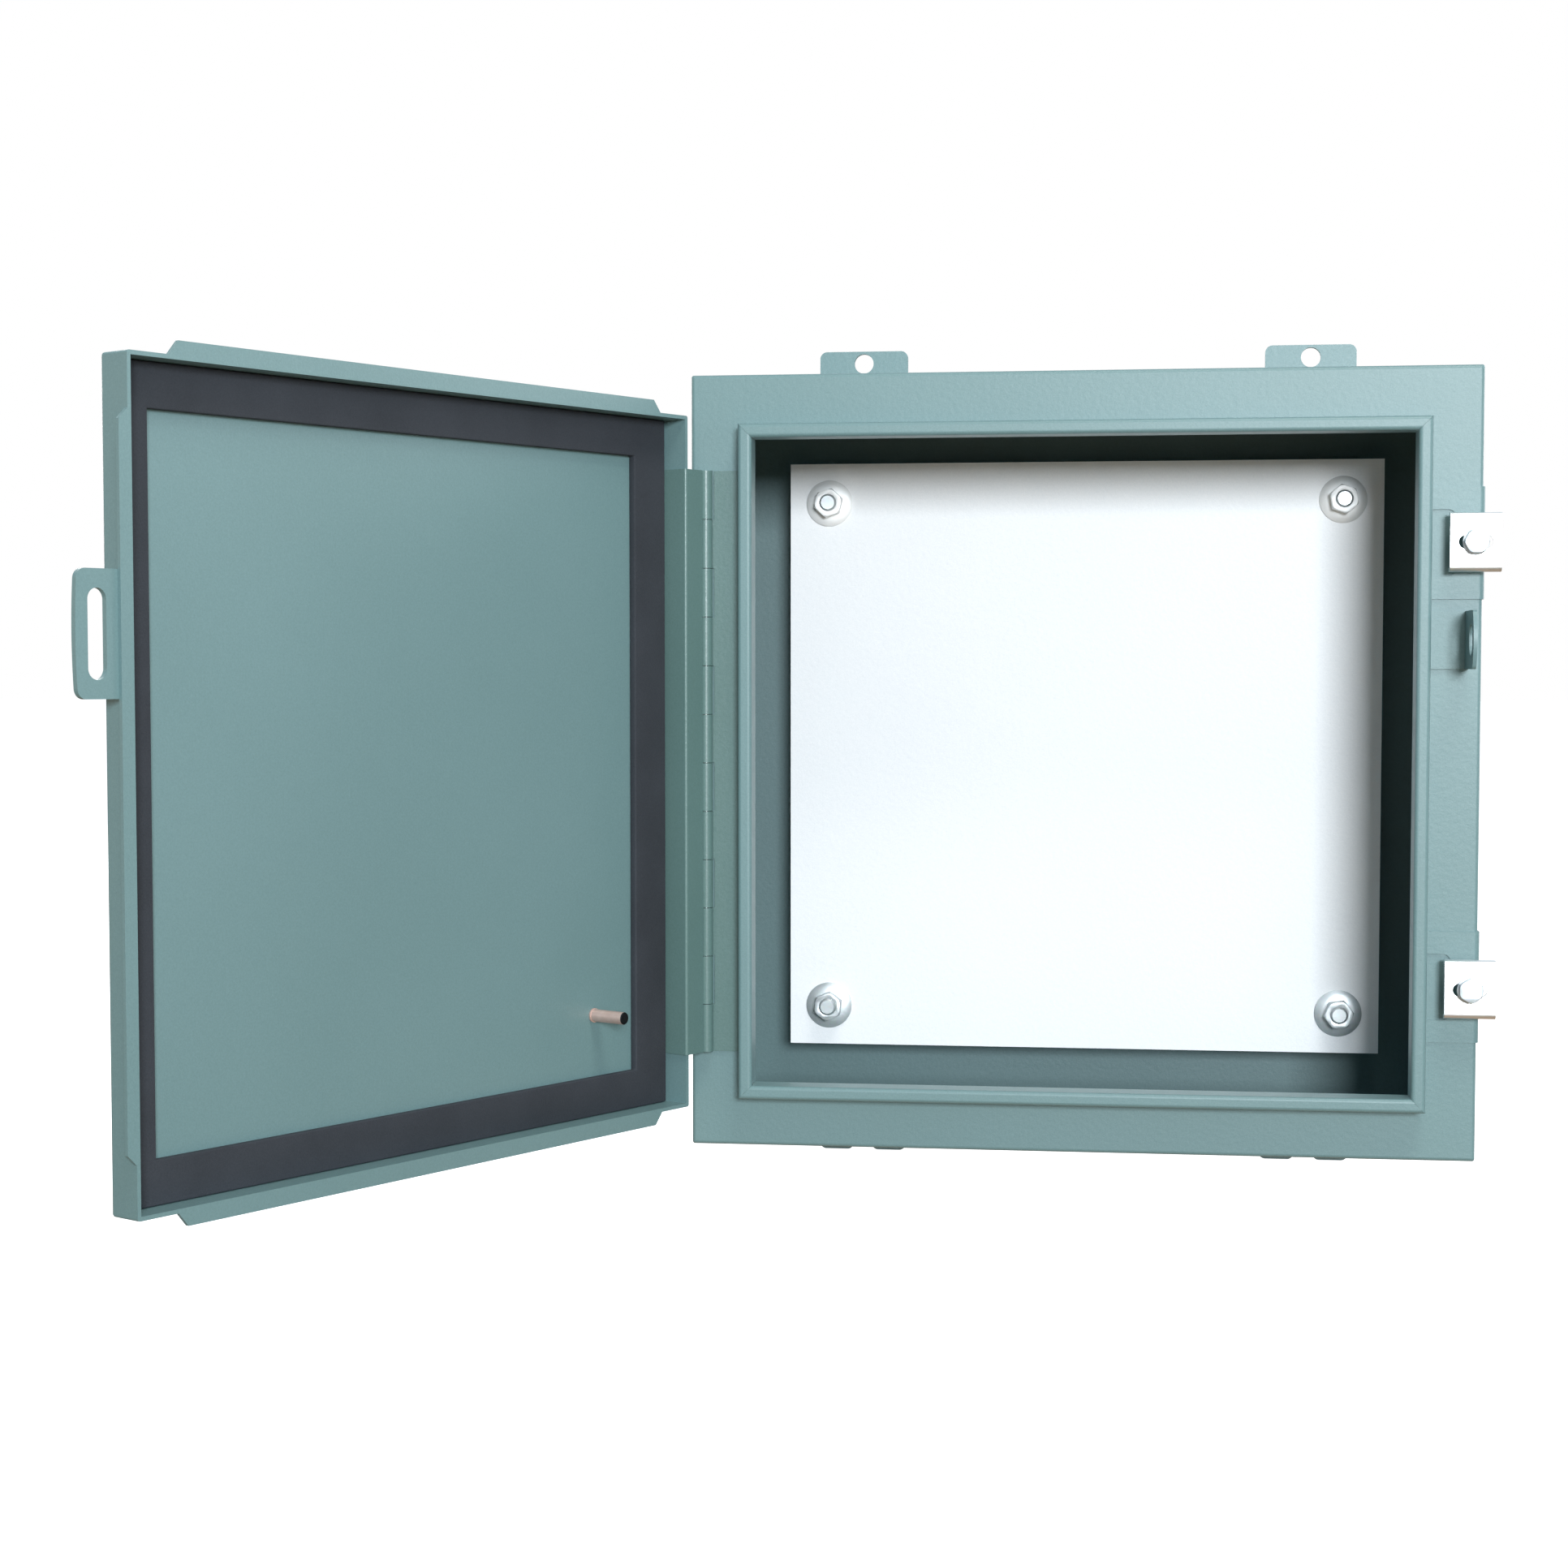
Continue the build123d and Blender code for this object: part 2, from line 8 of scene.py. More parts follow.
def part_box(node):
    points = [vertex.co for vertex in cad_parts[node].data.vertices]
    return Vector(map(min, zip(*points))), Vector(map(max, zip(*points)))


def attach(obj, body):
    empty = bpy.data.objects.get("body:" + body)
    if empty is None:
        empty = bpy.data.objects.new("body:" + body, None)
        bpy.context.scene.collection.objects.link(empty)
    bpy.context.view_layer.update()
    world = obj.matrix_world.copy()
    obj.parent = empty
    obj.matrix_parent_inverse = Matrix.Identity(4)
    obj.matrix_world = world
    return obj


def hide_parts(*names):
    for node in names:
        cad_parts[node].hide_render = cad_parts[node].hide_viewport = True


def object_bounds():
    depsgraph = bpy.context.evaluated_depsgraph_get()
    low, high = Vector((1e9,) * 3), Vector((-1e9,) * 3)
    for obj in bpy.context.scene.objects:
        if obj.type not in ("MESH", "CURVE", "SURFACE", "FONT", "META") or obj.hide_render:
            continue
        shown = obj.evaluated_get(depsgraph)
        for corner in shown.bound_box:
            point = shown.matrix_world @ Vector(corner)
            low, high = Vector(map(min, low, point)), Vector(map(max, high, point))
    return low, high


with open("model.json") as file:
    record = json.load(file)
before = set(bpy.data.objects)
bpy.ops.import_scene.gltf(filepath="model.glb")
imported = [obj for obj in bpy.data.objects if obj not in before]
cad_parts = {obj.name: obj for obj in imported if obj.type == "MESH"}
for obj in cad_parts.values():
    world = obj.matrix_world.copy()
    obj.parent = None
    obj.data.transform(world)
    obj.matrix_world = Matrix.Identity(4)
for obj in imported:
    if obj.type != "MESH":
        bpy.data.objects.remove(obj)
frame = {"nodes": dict(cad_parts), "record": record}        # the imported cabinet: bodies, nodes, joints and record
cad_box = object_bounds()
nodes = frame["nodes"]
MM = 0.001

# ---- Camera ----
LENS = 60.0
SENSOR = 36.0
CAMERA_PLACE = (0.0222, -1.5188, 0.0509)
CAMERA_YAW = 7.363
CAMERA_PITCH = -2.919
CAMERA_SHIFT = 0.0097

# ---- Studio: name, place, target, width, height, watts, colour ----
LIGHTS = (
    ("key", (1.1, -5.0, 0.9), (0, -0.04, 0), 1.18, 1.03, 230, (0.9, 0.96, 1.0)),
    ("high", (0.45, -1.15, 2.1), (0, -0.1, 0), 0.9, 0.7, 26, (1.0, 0.98, 0.9)),
    ("right", (2.3, -1.3, 0.3), (-0.3, -0.3, 0), 0.9, 0.9, 3, (0.95, 0.98, 1.0)),
    ("side", (-2.1, -0.9, -0.15), (-0.3, -0.3, 0), 0.9, 1.4, 3.5, (1.0, 0.78, 0.42)),
    ("back_left", (-2.2, 1.9, 1.0), (0, 0, 0), 1.6, 1.6, 42, (1.0, 0.99, 0.97)),
    ("back_right", (2.4, 1.5, 0.8), (0, 0, 0), 1.6, 1.6, 42, (0.97, 0.99, 1.0)),
)
FLOOR_SIZE = 40
FLOOR_GAP = 0.0002            # floor below the lower feet
WARM_REACH = 0.42             # radius of the tan glowing patch on the floor that only reflections see: a painted reflection

# ---- Hardware sizes ----
ROUND = 48                    # sides of a round piece
NUT_FLANGE = 26.0 * MM        # flange nut: flange, its edge, the cone and its neck
NUT_FLANGE_EDGE = 1.0 * MM
NUT_CONE = 1.3 * MM
NUT_NECK = 17.0 * MM
NUT_HEX = 14.3 * MM
NUT_CROWN = 0.9               # flat of a hexagon to its corners
PANEL_STUD = 9.5 * MM
STUD_COLLAR = 12.7 * MM
STUD_CHAMFER = 1.0 * MM
EARTH_STUD = 6.35 * MM
EARTH_BASE = 7.4 * MM
EARTH_BASE_HEIGHT = 1.0 * MM
EARTH_LENGTH = 21.0 * MM
EARTH_CHAMFER = 0.35 * MM
FOAM_EDGE = 0.7 * MM          # how far the foam's corners are rounded
BREAK_EDGE = 0.18 * MM        # broken edges on the nuts and screws
SCREW = 6.0 * MM
SCREW_PITCH = 1.27 * MM
SCREW_HEX = 11.1 * MM
SCREW_TURN = {"upper": 0, "lower": 30}
HEAD_GAP = 0.05 * MM          # screw head to washer
SCREW_ROOT = 0.28 * MM        # thread crest to the screw's core
WASHER_SLACK = 0.2 * MM       # washer bore to the screw, all round
NUT_SLACK = 0.05 * MM         # nut bore to the stud, all round
THREAD_SECTION = 0.56         # size of the thread's section to its pitch
THREAD_NARROW = 0.9
THREAD_RUNOUT = 0.2 * MM      # plain shank left under the head
EARTH_RIM = 0.3 * MM          # rim round the earth stud's end
EARTH_BREAK = 0.12 * MM
NUT_TURNS = (17, 41, 23, 8)   # how the four nuts happen to stand, in degrees
MERGE = 0.02 * MM             # corners closer than this are one
INSIDE_SHADE_MARGIN = 1.2 * MM      # how far into the sheet the painted shade inside the box reaches
SMOOTH_ANGLE = 35


def camera():
    """A 60 mm lens a little right of the middle, turned towards the open door."""
    data = bpy.data.cameras.new("camera")
    data.lens = LENS
    data.sensor_width = SENSOR
    data.shift_y = CAMERA_SHIFT
    data.clip_end = 50
    piece = bpy.data.objects.new("camera", data)
    bpy.context.scene.collection.objects.link(piece)
    piece.location = CAMERA_PLACE
    piece.rotation_euler = (math.radians(90 + CAMERA_PITCH), 0, math.radians(CAMERA_YAW))
    bpy.context.scene.camera = piece


def softbox(name, place, target, width, height, power, colour):
    """A rectangular studio light aimed at a point."""
    data = bpy.data.lights.new(name, "AREA")
    data.shape = "RECTANGLE"
    data.size = width
    data.size_y = height
    data.energy = power
    data.color = colour
    lamp = bpy.data.objects.new(name, data)
    bpy.context.scene.collection.objects.link(lamp)
    lamp.location = place
    aim = Vector(target) - Vector(place)
    lamp.rotation_euler = aim.to_track_quat("-Z", "Y").to_euler()
    return lamp


def by_ray(tree, factor, otherwise, chosen):
    """One shader where the factor is 0, the other where it is 1."""
    mix = tree.nodes.new("ShaderNodeMixShader")
    tree.links.new(factor, mix.inputs["Fac"])
    tree.links.new(otherwise, mix.inputs[1])
    tree.links.new(chosen, mix.inputs[2])
    return mix.outputs["Shader"]


def surround(tree, colour, strength):
    item = tree.nodes.new("ShaderNodeBackground")
    item.inputs["Color"].default_value = colour
    item.inputs["Strength"].default_value = strength
    return item.outputs["Background"]


def studio():
    """Soft lights, and a surround: white to the camera, pale blue in reflections, dim blue as fill."""
    scene = bpy.context.scene
    scene.view_settings.view_transform = "Standard"
    scene.view_settings.look = "None"
    world = bpy.data.worlds.new("studio")
    scene.world = world
    world.use_nodes = True
    tree = world.node_tree
    path = tree.nodes.new("ShaderNodeLightPath")
    seen = surround(tree, (1, 1, 1, 1), 1.0)
    fill = surround(tree, (0.64, 0.8, 1.0, 1), 0.19)
    mirrored = surround(tree, (0.86, 0.94, 1.0, 1), 0.95)
    unseen = by_ray(tree, path.outputs["Is Glossy Ray"], fill, mirrored)
    shown = by_ray(tree, path.outputs["Is Camera Ray"], unseen, seen)
    tree.links.new(shown, tree.nodes["World Output"].inputs["Surface"])
    for light in LIGHTS:
        softbox(*light)


def floor():
    """A floor that is bright to the camera and dull to other light; near the middle it glows tan to reflected rays
    only, a painted warm reflection.
    """
    bpy.ops.object.select_all(action="DESELECT")
    bpy.ops.mesh.primitive_plane_add(size=FLOOR_SIZE, location=(0, 0, cad_box[0][2] - FLOOR_GAP))
    ground = bpy.context.object
    ground.name = "studio_floor"
    material = bpy.data.materials.new("studio_floor_white")
    material.use_nodes = True
    tree = material.node_tree
    matt = tree.nodes["Principled BSDF"]
    matt.inputs["Base Color"].default_value = (0.8, 0.8, 0.8, 1)
    matt.inputs["Roughness"].default_value = 0.9
    glow = tree.nodes.new("ShaderNodeEmission")
    glow.inputs["Strength"].default_value = 0.93
    bright = tree.nodes.new("ShaderNodeAddShader")
    tree.links.new(matt.outputs["BSDF"], bright.inputs[0])
    tree.links.new(glow.outputs["Emission"], bright.inputs[1])
    dull = tree.nodes.new("ShaderNodeBsdfDiffuse")
    dull.inputs["Color"].default_value = (0.42, 0.34, 0.26, 1)
    # painted reflection: a tan glow near the middle of the floor that only reflected rays see
    tan = tree.nodes.new("ShaderNodeEmission")
    tan.inputs["Color"].default_value = (1.0, 0.66, 0.42, 1)
    tan.inputs["Strength"].default_value = 0.55

    path = tree.nodes.new("ShaderNodeLightPath")
    place = tree.nodes.new("ShaderNodeTexCoord")
    reach = tree.nodes.new("ShaderNodeVectorMath")
    reach.operation = "LENGTH"
    tree.links.new(place.outputs["Object"], reach.inputs[0])
    near = tree.nodes.new("ShaderNodeMapRange")
    near.inputs["From Min"].default_value = WARM_REACH
    near.inputs["From Max"].default_value = WARM_REACH / 2
    tree.links.new(reach.outputs["Value"], near.inputs["Value"])
    both = tree.nodes.new("ShaderNodeMath")
    both.operation = "MULTIPLY"
    tree.links.new(near.outputs["Result"], both.inputs[0])
    tree.links.new(path.outputs["Is Glossy Ray"], both.inputs[1])

    unseen = by_ray(tree, both.outputs["Value"], dull.outputs["BSDF"], tan.outputs["Emission"])
    shown = by_ray(tree, path.outputs["Is Camera Ray"], unseen, bright.outputs["Shader"])
    tree.links.new(shown, tree.nodes["Material Output"].inputs["Surface"])
    ground.data.materials.append(material)


# ---------------------------------------------------------------- finishes
def srgb(red, green, blue):
    """Screen colour, 0 to 255, as a linear RGBA."""
    def linear(value):
        value /= 255
        return value / 12.92 if value <= 0.04045 else ((value + 0.055) / 1.055) ** 2.4
    return (linear(red), linear(green), linear(blue), 1)


class Finish:
    """A node material under construction."""

    def __init__(self, name):
        self.material = bpy.data.materials.new(name)
        self.material.use_nodes = True
        self.tree = self.material.node_tree
        self.shader = self.tree.nodes["Principled BSDF"]
        self.place = self.tree.nodes.new("ShaderNodeTexCoord").outputs["Object"]

    def node(self, kind, **values):
        item = self.tree.nodes.new(kind)
        for key, value in values.items():
            setattr(item, key, value)
        return item

    def link(self, output, socket):
        self.tree.links.new(output, socket)

    def stretch(self, scale):
        """The place on the piece, scaled by axis."""
        mapping = self.node("ShaderNodeMapping")
        mapping.inputs["Scale"].default_value = scale
        self.link(self.place, mapping.inputs["Vector"])
        return mapping.outputs["Vector"]

    def noise(self, scale, detail=2.0, rough=0.5, where=None):
        item = self.node("ShaderNodeTexNoise")
        item.inputs["Scale"].default_value = scale
        item.inputs["Detail"].default_value = detail
        item.inputs["Roughness"].default_value = rough
        self.link(where or self.place, item.inputs["Vector"])
        return item.outputs["Fac"]

    def cells(self, scale, where=None):
        item = self.node("ShaderNodeTexVoronoi")
        item.inputs["Scale"].default_value = scale
        self.link(where or self.place, item.inputs["Vector"])
        return item.outputs["Color"], item.outputs["Distance"]

    def ramp(self, value, stops):
        """Value to colour; stops are (place, colour)."""
        item = self.node("ShaderNodeValToRGB")
        band = item.color_ramp
        band.elements[0].position, band.elements[0].color = stops[0]
        band.elements[1].position, band.elements[1].color = stops[-1]
        for place, colour in stops[1:-1]:
            band.elements.new(place).color = colour
        self.link(value, item.inputs["Fac"])
        return item.outputs["Color"]

    def span(self, value, low, high, start=0.0, end=1.0):
        """Map start..end to low..high."""
        item = self.node("ShaderNodeMapRange")
        item.inputs["From Min"].default_value = start
        item.inputs["From Max"].default_value = end
        item.inputs["To Min"].default_value = low
        item.inputs["To Max"].default_value = high
        self.link(value, item.inputs["Value"])
        return item.outputs["Result"]

    def mix(self, amount, one, two, blend="MIX"):
        item = self.node("ShaderNodeMix", data_type="RGBA", blend_type=blend)
        for socket, value in (("Factor", amount), ("A", one), ("B", two)):
            target = [s for s in item.inputs if s.name == socket and s.enabled][0]
            if isinstance(value, (int, float, tuple)):
                target.default_value = value
            else:
                self.link(value, target)
        return [s for s in item.outputs if s.enabled][0]

    def math(self, operation, one, two):
        item = self.node("ShaderNodeMath", operation=operation)
        for socket, value in zip(item.inputs, (one, two)):
            if isinstance(value, (int, float)):
                socket.default_value = value
            else:
                self.link(value, socket)
        return item.outputs["Value"]

    def bump(self, height, distance, strength=1.0, under=None):
        item = self.node("ShaderNodeBump")
        item.inputs["Strength"].default_value = strength
        item.inputs["Distance"].default_value = distance
        self.link(height, item.inputs["Height"])
        if under is not None:
            self.link(under, item.inputs["Normal"])
        return item.outputs["Normal"]

    def finish(self, colour=None, roughness=None, normal=None, **fixed):
        for name, value in (("Base Color", colour), ("Roughness", roughness), ("Normal", normal)):
            if value is None:
                continue
            if isinstance(value, (int, float, tuple)):
                self.shader.inputs[name].default_value = value
            else:
                self.link(value, self.shader.inputs[name])
        for name, value in fixed.items():
            self.shader.inputs[name.replace("_", " ")].default_value = value
        return self.material


def inside_shade_mask(m):
    """1 on the faces inside the box, 0 elsewhere; it places the painted shade inside the box."""
    low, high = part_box("body_shell")
    wall = INSIDE_SHADE_MARGIN
    split = m.node("ShaderNodeSeparateXYZ")
    m.link(m.place, split.inputs["Vector"])
    across = m.math("LESS_THAN", m.math("ABSOLUTE", split.outputs["X"], 0), high[0] - wall)
    level = m.math("LESS_THAN", m.math("ABSOLUTE", split.outputs["Z"], 0), high[2] - wall)
    front = m.math("GREATER_THAN", split.outputs["Y"], low[1] + wall)
    back = m.math("LESS_THAN", split.outputs["Y"], high[1] - wall)
    return m.math("MULTIPLY", m.math("MULTIPLY", across, level), m.math("MULTIPLY", front, back))


def powder_coat(name, light, dark, gloss, inside=None):
    """Baked powder paint: fine speckle, orange peel and a slow change of tone, with painted shade darkening the
    faces inside the box.
    """
    m = Finish(name)
    slow = m.noise(7, 3)
    speckle = m.noise(1100, 2, 0.7)
    shade = m.ramp(m.math("ADD", m.math("MULTIPLY", slow, 0.35), m.math("MULTIPLY", speckle, 0.65)),
                   [(0.34, dark), (0.66, light)])
    # painted shade: the faces inside the box are mixed towards black by the inside factor
    if inside is not None:
        shade = m.mix(m.math("MULTIPLY", inside_shade_mask(m), inside), shade, (0, 0, 0, 1))
    peel = m.noise(420, 2)
    grain = m.noise(1500, 2, 0.6)
    normal = m.bump(grain, 0.00006, 0.6, m.bump(peel, 0.00016, 0.5))
    rough = m.span(grain, gloss - 0.05, gloss + 0.09)
    return m.finish(shade, rough, normal, Specular_IOR_Level=0.52, Coat_Weight=0.06, Coat_Roughness=0.35)


def gasket_foam():
    """Closed-cell foam: near-black skin with small open cells."""
    m = Finish("gasket_foam_black")
    cell_colour, cell_size = m.cells(900)
    slow = m.noise(30, 3)
    pits = m.noise(1400, 3, 0.7)
    colour = m.ramp(m.math("ADD", m.math("MULTIPLY", slow, 0.4), m.math("MULTIPLY", pits, 0.6)),
                    [(0.3, srgb(43, 47, 53)), (0.7, srgb(58, 62, 69))])
    normal = m.bump(cell_size, 0.0002, 0.35, m.bump(pits, 0.00012, 0.5))
    return m.finish(colour, m.span(pits, 0.72, 0.9), normal, Specular_IOR_Level=0.35)


def zinc(name, light, dark, rough, spangle, metal=1.0):
    """Bright zinc plate: soft crystals, faint rub marks, a little unevenness in the gloss."""
    m = Finish(name)
    crystal, size = m.cells(spangle)
    rub = m.noise(260, 4, 0.65, m.stretch((0.15, 1, 1)))
    cloud = m.noise(90, 3)
    colour = m.ramp(m.math("ADD", m.math("MULTIPLY", cloud, 0.5), m.math("MULTIPLY", rub, 0.5)),
                    [(0.3, dark), (0.7, light)])
    colour = m.mix(0.05, colour, crystal, "OVERLAY")
    normal = m.bump(rub, 0.00004, 0.35, m.bump(size, 0.00005, 0.12))
    return m.finish(colour, m.span(rub, rough - 0.07, rough + 0.1), normal, Metallic=metal)


def copper():
    """Copper flash on the earth stud, browned in places."""
    m = Finish("copper_flash_pink")
    stain = m.noise(240, 4, 0.6)
    fine = m.noise(1800, 2)
    colour = m.ramp(stain, [
        (0.25, srgb(204, 174, 165)), (0.5, srgb(212, 184, 175)), (0.8, srgb(220, 194, 186))])
    normal = m.bump(fine, 0.00003, 0.4)
    return m.finish(colour, m.span(stain, 0.5, 0.36), normal, Metallic=0.6)


# the last figure, 0.3, mixes the faces inside the box 30 % towards black as painted shade
cabinet_paint = powder_coat("cabinet_paint_grey_green", srgb(114, 144, 147), srgb(105, 135, 137), 0.42, 0.3)
# a darker copy of the cabinet paint: painted shade on the hinge leaves and barrel
hinge_painted_shade = powder_coat("hinge_paint_green_painted_shade", srgb(100, 129, 127), srgb(91, 120, 117), 0.32)
panel_paint = powder_coat("panel_paint_white", srgb(250, 251, 253), srgb(243, 245, 248), 0.42)
foam = gasket_foam()
clamp_zinc = zinc("clamp_zinc_bright", (0.84, 0.85, 0.86, 1), (0.72, 0.74, 0.75, 1), 0.36, 420)
screw_zinc = zinc("screw_zinc_bright", (0.56, 0.61, 0.64, 1), (0.42, 0.47, 0.5, 1), 0.46, 700)
# a whiter copy of the nut zinc: painted highlight for the upper pair of panel nuts
nut_painted_highlight = zinc("nut_zinc_painted_highlight", (0.98, 0.98, 0.98, 1), (0.94, 0.95, 0.95, 1), 0.5, 700, 0.35)
nut_zinc = zinc("nut_zinc_clear", (0.7, 0.74, 0.76, 1), (0.58, 0.63, 0.65, 1), 0.36, 700, 0.6)
# near-black steel: painted shade on the panel studs' ends and chamfers and on the earth studs' end faces
stud_end_shade = zinc("stud_end_steel_painted_shade", (0.03, 0.033, 0.037, 1), (0.015, 0.017, 0.02, 1), 0.55, 900)
pin_steel = zinc("hinge_pin_steel", (0.55, 0.55, 0.54, 1), (0.42, 0.42, 0.41, 1), 0.35, 600)
stud_copper = copper()

PAINTED = (
    "body_shell", "lip_channel", "back_plate", "upper_feet", "lower_feet",
    "padlock_staple", "door_shell", "padlock_hasp",
    "upper_clamp_bracket", "lower_clamp_bracket", "upper_clamp_bridge", "lower_clamp_bridge",
)


def coat(node, material):
    """Give a CAD node one finish all over."""
    mesh = nodes[node].data
    mesh.materials.clear()
    mesh.materials.append(material)


def coat_nodes():
    for name in PAINTED:
        coat(name, cabinet_paint)
    coat("hinge_body_leaf", hinge_painted_shade)
    coat("hinge_door_leaf", hinge_painted_shade)
    coat("inner_panel", panel_paint)
    coat("door_gasket", foam)
    coat("hinge_pin", pin_steel)
    for place in ("upper", "lower"):
        coat(place + "_clamp", clamp_zinc)
        coat(place + "_clamp_washer", screw_zinc)
        coat(place + "_clamp_screw", screw_zinc)
        coat(place + "_weld_nut", nut_zinc)
    coat("panel_studs", nut_zinc)
    coat("panel_nuts", nut_zinc)
    coat("door_ground_stud", stud_copper)
    coat("body_ground_stud", stud_copper)


# ---------------------------------------------------------------- pieces
def deselect():
    bpy.ops.object.select_all(action="DESELECT")


def current(name):
    """The primitive just added, named."""
    piece = bpy.context.object
    piece.name = name
    piece.data.name = name
    return piece


def rod(name, radius, start, end, sides=ROUND):
    """A closed prism along Z from start to end."""
    deselect()
    bpy.ops.mesh.primitive_cylinder_add(
        vertices=sides, radius=radius, depth=abs(end - start), location=(0, 0, (start + end) / 2))
    return current(name)


def select_only(piece):
    deselect()
    piece.select_set(True)
    bpy.context.view_layer.objects.active = piece


def edit(piece, kind="FACE"):
    """Set a piece up for selecting by place, with nothing selected."""
    select_only(piece)
    bpy.ops.object.mode_set(mode="EDIT")
    bpy.ops.mesh.select_mode(type=kind)
    bpy.ops.mesh.select_all(action="DESELECT")
    bpy.ops.object.mode_set(mode="OBJECT")


def open_all(piece, kind="VERT"):
    """Open a piece for editing with all of it selected."""
    edit(piece, kind)
    bpy.ops.object.mode_set(mode="EDIT")
    bpy.ops.mesh.select_all(action="SELECT")


def top_face(piece):
    """Select the face that looks most along +Z and lies highest, and open the piece."""
    edit(piece)
    faces = [face for face in piece.data.polygons if face.normal.z > 0.9]
    max(faces, key=lambda face: face.center.z).select = True
    bpy.ops.object.mode_set(mode="EDIT")


def close_edit():
    bpy.ops.object.mode_set(mode="OBJECT")


def apply_modifiers(piece):
    select_only(piece)
    for modifier in list(piece.modifiers):
        bpy.ops.object.modifier_apply(modifier=modifier.name)


def combine(piece, other, operation):
    """Join, cut or keep the shared part of two solids, and remove the second."""
    change = piece.modifiers.new("combine", "BOOLEAN")
    change.operation = operation
    change.solver = "EXACT"
    change.object = other
    apply_modifiers(piece)
    bpy.data.objects.remove(other)
    return piece


def break_edges(piece, width, steps=2, angle=30):
    bevel = piece.modifiers.new("broken_edges", "BEVEL")
    bevel.width = width
    bevel.segments = steps
    bevel.limit_method = "ANGLE"
    bevel.angle_limit = math.radians(angle)
    apply_modifiers(piece)
    bpy.ops.object.shade_smooth_by_angle(angle=math.radians(SMOOTH_ANGLE))


def paint(piece, *materials):
    for material in materials:
        piece.data.materials.append(material)


def set_down(piece, matrix):
    """Turn and place a piece in its mesh; the object stays at the origin."""
    piece.data.transform(piece.matrix_basis)
    piece.matrix_basis = Matrix.Identity(4)
    piece.data.transform(matrix)
    return piece


def along(place, axis, turn=0.0):
    """Carries a piece made along +Z onto an axis at a place."""
    aim = Vector(axis).to_track_quat("Z", "X").to_matrix().to_4x4()
    return Matrix.Translation(Vector(place)) @ aim @ Matrix.Rotation(math.radians(turn), 4, "Z")


def copy_of(piece, name):
    twin = piece.copy()
    twin.data = piece.data.copy()
    twin.name = name
    twin.data.name = name
    bpy.context.scene.collection.objects.link(twin)
    return twin


def flange_nut(height):
    """Hexagon nut on a coned flange, bottom at Z = 0, bored for the stud."""
    nut = rod("panel_nut", NUT_FLANGE / 2, 0, NUT_FLANGE_EDGE)
    top_face(nut)
    bpy.ops.mesh.extrude_region_move(TRANSFORM_OT_translate={"value": (0, 0, NUT_CONE)})
    neck = NUT_NECK / NUT_FLANGE
    bpy.ops.transform.resize(value=(neck, neck, 1), center_override=(0, 0, 0))
    close_edit()
    combine(nut, hexagon_head(height, NUT_HEX, "hexagon"), "UNION")
    combine(nut, rod("bore", PANEL_STUD / 2 + NUT_SLACK, -MM, height + MM), "DIFFERENCE")
    break_edges(nut, BREAK_EDGE)
    return nut


def thread_ridge(crest, pitch, start, end):
    """A helical ridge along Z with a three-sided section, its ends closed."""
    deselect()
    size = pitch * THREAD_SECTION
    bpy.ops.mesh.primitive_circle_add(vertices=3, radius=size, fill_type="NOTHING", location=(0, 0, 0))
    ridge = current("thread_ridge")
    open_all(ridge)
    bpy.ops.transform.resize(value=(THREAD_NARROW, 1, 1), center_override=(0, 0, 0))
    close_edit()
    ridge.data.transform(Matrix.Rotation(math.radians(-90), 4, "Z"))
    ridge.data.transform(Matrix.Rotation(math.radians(90), 4, "X"))
    ridge.data.transform(Matrix.Translation((crest - size, 0, start + size)))
    helix = ridge.modifiers.new("helix", "SCREW")
    helix.screw_offset = pitch
    helix.iterations = max(1, int((end - start - 2 * size) / pitch))
    helix.steps = helix.render_steps = 24
    apply_modifiers(ridge)
    edit(ridge, "EDGE")
    bpy.ops.object.mode_set(mode="EDIT")
    bpy.ops.mesh.select_non_manifold()
    bpy.ops.mesh.edge_face_add()
    bpy.ops.mesh.select_all(action="SELECT")
    bpy.ops.mesh.normals_make_consistent(inside=False)
    close_edit()
    return ridge


def join(piece, other):
    """Add a second shell to a piece; the two stay closed and overlap."""
    deselect()
    other.select_set(True)
    piece.select_set(True)
    bpy.context.view_layer.objects.active = piece
    bpy.ops.object.join()
    return piece


def hexagon_head(height, hexagon, name):
    """Hexagon prism from Z = 0 with its far corners turned down."""
    corner = hexagon / math.sqrt(3)
    head = rod(name, corner, 0, height, 6)
    crown = rod("crown", corner + height, 0, height)
    top_face(crown)
    small = NUT_CROWN * corner / (corner + height)
    bpy.ops.transform.resize(value=(small, small, 1), center_override=(0, 0, 0))
    close_edit()
    return combine(head, crown, "INTERSECT")


def panel_stud(shoulder, length):
    """Collared stud along +Z: a collar up to the shoulder, then a plain end with a chamfer, its side and chamfer
    painted near-black as shade.
    """
    stud = rod("panel_stud", STUD_COLLAR / 2, 0, shoulder)
    top_face(stud)
    bpy.ops.mesh.inset(thickness=(STUD_COLLAR - PANEL_STUD) / 2, depth=0)
    bpy.ops.mesh.extrude_region_move(
        TRANSFORM_OT_translate={"value": (0, 0, length - shoulder - STUD_CHAMFER)})
    bpy.ops.mesh.extrude_region_move(TRANSFORM_OT_translate={"value": (0, 0, STUD_CHAMFER)})
    small = 1 - 2 * STUD_CHAMFER / PANEL_STUD
    bpy.ops.transform.resize(value=(small, small, 1), center_override=(0, 0, 0))
    close_edit()
    # the end's side and chamfer take the near-black painted shade
    paint(stud, nut_zinc, stud_end_shade)
    for face in stud.data.polygons:
        radius = math.hypot(face.center.x, face.center.y)
        if face.center.z > shoulder and radius > PANEL_STUD / 3:
            face.material_index = 1
    select_only(stud)
    bpy.ops.object.shade_smooth_by_angle(angle=math.radians(SMOOTH_ANGLE))
    return stud


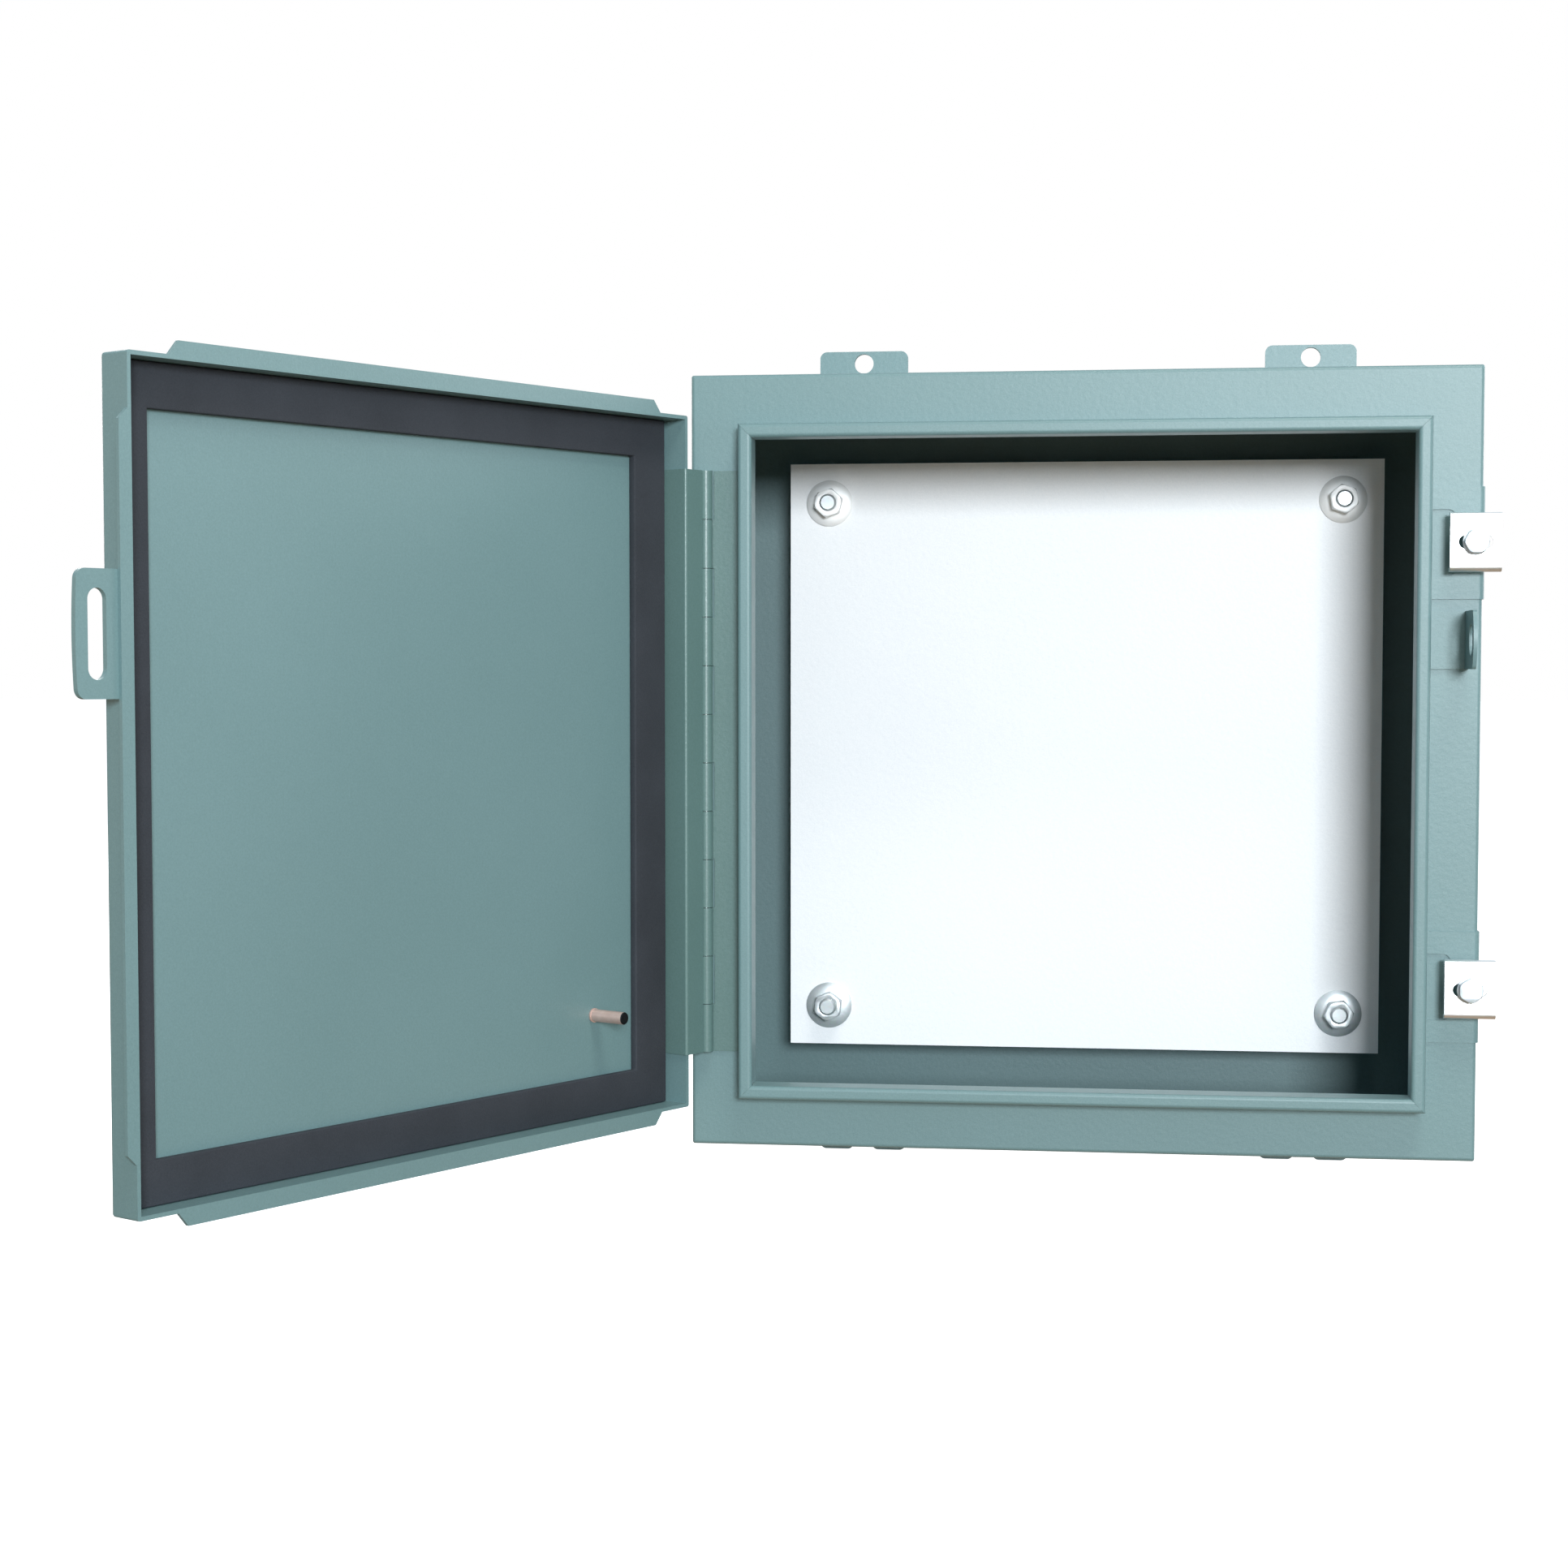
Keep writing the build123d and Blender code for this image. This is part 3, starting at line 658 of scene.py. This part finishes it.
def clamp_screws():
    """Hexagon clamp screws with threaded shanks, and the washers under their heads."""
    for place in ("upper", "lower"):
        low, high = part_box(place + "_clamp_screw")
        ring_low, ring_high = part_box(place + "_clamp_washer")
        x = (low[0] + high[0]) / 2
        z = (low[2] + high[2]) / 2
        head = ring_low[1] - HEAD_GAP - low[1]
        length = high[1] - low[1]
        screw = hexagon_head(head, SCREW_HEX, place + "_hex_screw")
        break_edges(screw, BREAK_EDGE)
        core = rod("core", SCREW / 2 - SCREW_ROOT, head - length, 0)
        join(screw, core)
        join(screw, thread_ridge(SCREW / 2, SCREW_PITCH, head - length, -THREAD_RUNOUT))
        paint(screw, screw_zinc)
        set_down(screw, along((x, ring_low[1] - HEAD_GAP, z), (0, -1, 0), SCREW_TURN[place]))
        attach(screw, place + "_screw")
        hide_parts(place + "_clamp_screw")

        thickness = ring_high[1] - ring_low[1]
        washer = rod(place + "_plain_washer", (ring_high[0] - ring_low[0]) / 2, 0, thickness)
        bore = rod("bore", SCREW / 2 + WASHER_SLACK, -thickness, 2 * thickness)
        combine(washer, bore, "DIFFERENCE")
        break_edges(washer, BREAK_EDGE)
        paint(washer, screw_zinc)
        set_down(washer, along((x, ring_high[1], z), (0, -1, 0)))
        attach(washer, place + "_washer")
        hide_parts(place + "_clamp_washer")


def panel_fixings():
    """Four collared studs and their flange nuts."""
    low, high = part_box("panel_nuts")
    stud_low, stud_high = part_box("panel_studs")
    edge = NUT_FLANGE / 2
    height = high[1] - low[1]
    nut = flange_nut(height)
    stud = panel_stud(stud_high[1] - high[1] - panel_thickness(), stud_high[1] - stud_low[1])
    levels = (high[2] - edge, low[2] + edge)
    sides = (low[0] + edge, high[0] - edge)
    spots = [(side, level) for level in levels for side in sides]
    names = ("upper_left", "upper_right", "lower_left", "lower_right")
    for (x, z), turn, name in zip(spots, NUT_TURNS, names):
        one = set_down(copy_of(nut, name + "_flange_nut"), along((x, high[1], z), (0, -1, 0), turn))
        # the upper nuts take the whiter copy as a painted highlight, the lower ones the plain zinc
        paint(one, nut_painted_highlight if z > 0 else nut_zinc)
        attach(one, "cabinet")
        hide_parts("panel_nuts")
        pin = set_down(copy_of(stud, name + "_panel_stud"), along((x, stud_high[1], z), (0, -1, 0)))
        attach(pin, "cabinet")
        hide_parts("panel_studs")
    bpy.data.objects.remove(nut)
    bpy.data.objects.remove(stud)


def panel_thickness():
    low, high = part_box("inner_panel")
    return high[1] - low[1]


def earth_studs():
    """Copper-flashed pins with a small welded base and a sheared end whose end face is painted near-black as shade.
    """
    pin = rod("earth_stud", EARTH_BASE / 2, 0, EARTH_BASE_HEIGHT)
    top_face(pin)
    bpy.ops.mesh.inset(thickness=(EARTH_BASE - EARTH_STUD) / 2, depth=0)
    bpy.ops.mesh.extrude_region_move(
        TRANSFORM_OT_translate={"value": (0, 0, EARTH_LENGTH - EARTH_BASE_HEIGHT - EARTH_CHAMFER)})
    bpy.ops.mesh.extrude_region_move(TRANSFORM_OT_translate={"value": (0, 0, EARTH_CHAMFER)})
    small = 1 - 2 * EARTH_CHAMFER / EARTH_STUD
    bpy.ops.transform.resize(value=(small, small, 1), center_override=(0, 0, 0))
    bpy.ops.mesh.inset(thickness=EARTH_RIM, depth=0)
    close_edit()
    # the end face and its chamfer take the near-black painted shade
    paint(pin, stud_copper, stud_end_shade)
    for face in pin.data.polygons:
        if face.normal.z > 0.6 and face.center.z > EARTH_LENGTH - 2 * EARTH_CHAMFER:
            face.material_index = 1
    break_edges(pin, EARTH_BREAK, 2, 40)
    mounts = {mount["name"]: mount for mount in frame["record"]["mounts"]}
    for name, body in (("door", "door"), ("body", "cabinet")):
        axis = Vector(mounts[name + "_earth_stud"]["axis"])
        node = name + "_ground_stud"
        low, high = (Vector(corner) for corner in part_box(node))
        reach = EARTH_LENGTH / 2
        middle = (low + high) / 2
        slack = (EARTH_BASE - EARTH_STUD) / 4
        side = Vector((
            abs(axis.y) * math.copysign(1, axis.x), abs(axis.x) * math.copysign(1, axis.y), 0)) * slack
        slanted = abs(axis.x * axis.y) > 0.01
        start = middle - axis * reach + (side if slanted else Vector())
        one = set_down(copy_of(pin, name + "_earth_stud"), along(start, axis))
        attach(one, body)
        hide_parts(node)
    bpy.data.objects.remove(pin)


def foam_gasket():
    """The door's foam ring, with its skin rounded over at the edges."""
    ring = copy_of(nodes["door_gasket"], "foam_gasket")
    ring.parent = None
    ring.matrix_basis = Matrix.Identity(4)
    open_all(ring)
    bpy.ops.mesh.remove_doubles(threshold=MERGE)
    bpy.ops.mesh.dissolve_limited(angle_limit=math.radians(2))
    bpy.ops.mesh.normals_make_consistent(inside=False)
    close_edit()
    break_edges(ring, FOAM_EDGE, 3)
    ring.data.materials.clear()
    paint(ring, foam)
    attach(ring, "door")
    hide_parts("door_gasket")


camera()
studio()
floor()
coat_nodes()
foam_gasket()
clamp_screws()
panel_fixings()
earth_studs()
